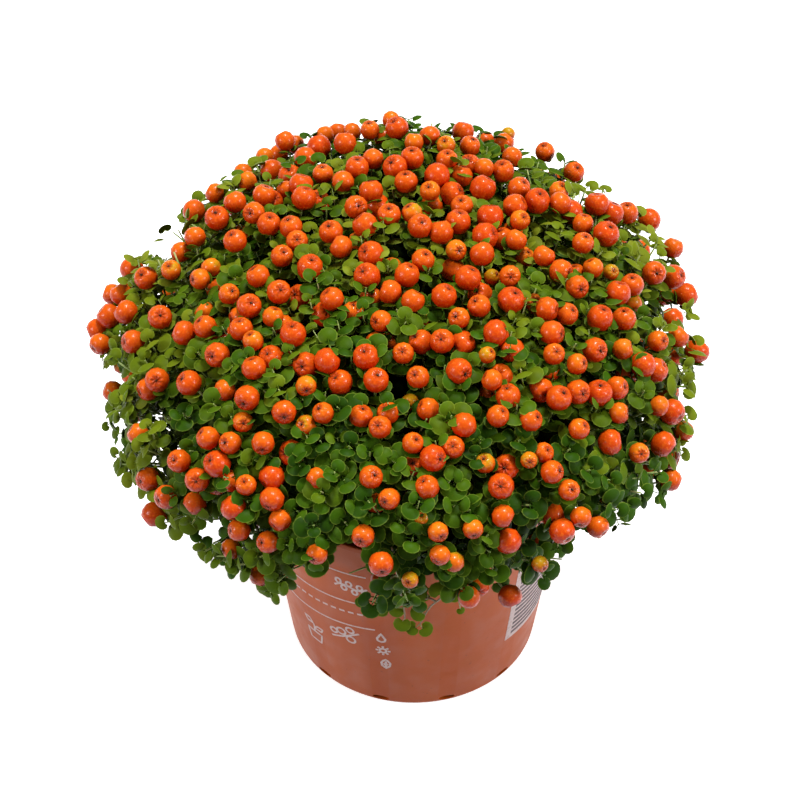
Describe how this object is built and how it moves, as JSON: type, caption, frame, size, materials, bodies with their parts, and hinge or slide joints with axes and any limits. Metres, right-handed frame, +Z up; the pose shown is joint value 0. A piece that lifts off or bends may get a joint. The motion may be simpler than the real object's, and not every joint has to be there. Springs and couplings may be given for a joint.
{
  "type": "potted coral bead plant",
  "caption": "Low domed pot plant of small round leaves set with orange berries, in a tapered plastic nursery pot filled with soil.",
  "frame": {"origin": "middle of the pot's foot, on the surface that it stands on", "axes": "+Z up along the pot's axis, -Y towards the side that was pictured, +X to the viewer's right"},
  "size_m": [0.2116, 0.2184, 0.1944],
  "materials": {
    "pot_plastic": "satin moulded plastic",
    "soil": "loose peat compost",
    "foliage": "soft satin leaves with glossy orange berries"
  },
  "bodies": {
    "root": {"pot": "pot_plastic", "soil": "soil", "tuft_crown": "foliage", "tuft_upper_1": "foliage", "tuft_upper_2": "foliage", "tuft_upper_3": "foliage", "tuft_upper_4": "foliage", "tuft_upper_5": "foliage", "tuft_side_1": "foliage", "tuft_side_2": "foliage", "tuft_side_3": "foliage", "tuft_side_4": "foliage", "tuft_side_5": "foliage", "tuft_side_6": "foliage", "tuft_side_7": "foliage", "tuft_side_8": "foliage", "tuft_side_9": "foliage"}
  },
  "joints": []
}
